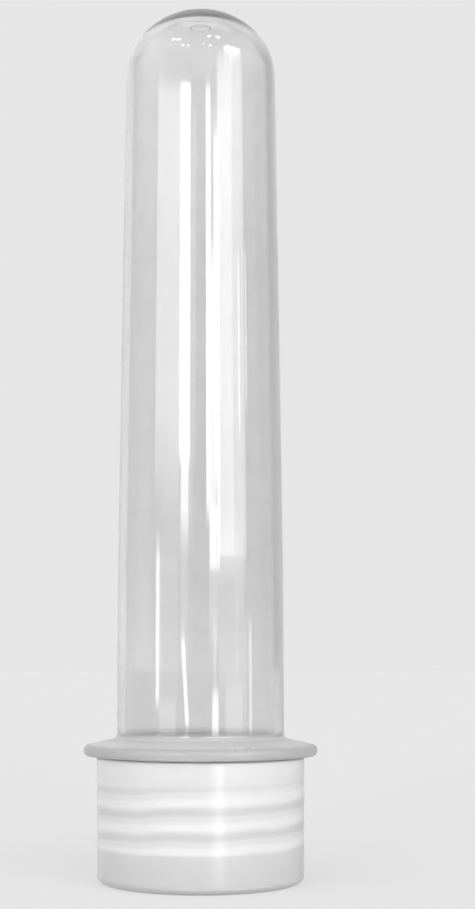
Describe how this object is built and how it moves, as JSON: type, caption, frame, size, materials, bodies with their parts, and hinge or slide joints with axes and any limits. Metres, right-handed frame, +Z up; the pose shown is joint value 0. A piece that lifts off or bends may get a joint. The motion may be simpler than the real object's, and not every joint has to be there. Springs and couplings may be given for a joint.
{
  "type": "test tube",
  "caption": "Clear plastic test tube with a round closed end and a support flange, standing upside down on the translucent screw cap that closes its threaded neck.",
  "frame": {"origin": "centre of the cap's underside, on the surface that the object stands on", "axes": "+Z up along the tube's axis, from the cap towards the round end; -Y towards the viewer"},
  "size_m": [0.033, 0.033, 0.1278],
  "materials": {
    "clear_plastic": "clear and glossy",
    "translucent_plastic": "smooth, milky and translucent",
    "liner_foam": "soft matte foam"
  },
  "bodies": {
    "cap": {"screw_cap": "translucent_plastic"},
    "liner": {"cap_liner": "liner_foam"},
    "tube": {"tube": "clear_plastic"}
  },
  "joints": [
    {"name": "tube_turn", "type": "hinge", "parent": "cap", "child": "liner", "pos_m": [0, 0, 0], "axis": [0, 0, 1], "range_deg": [0, 2160]},
    {"name": "tube_lift", "type": "slide", "parent": "liner", "child": "tube", "axis": [0, 0, 1], "range_m": [0, 0.0191]}
  ],
  "couplings": [
    {"joint": "tube_lift", "follows": "tube_turn", "m_per_rad": 0.00050611}
  ]
}
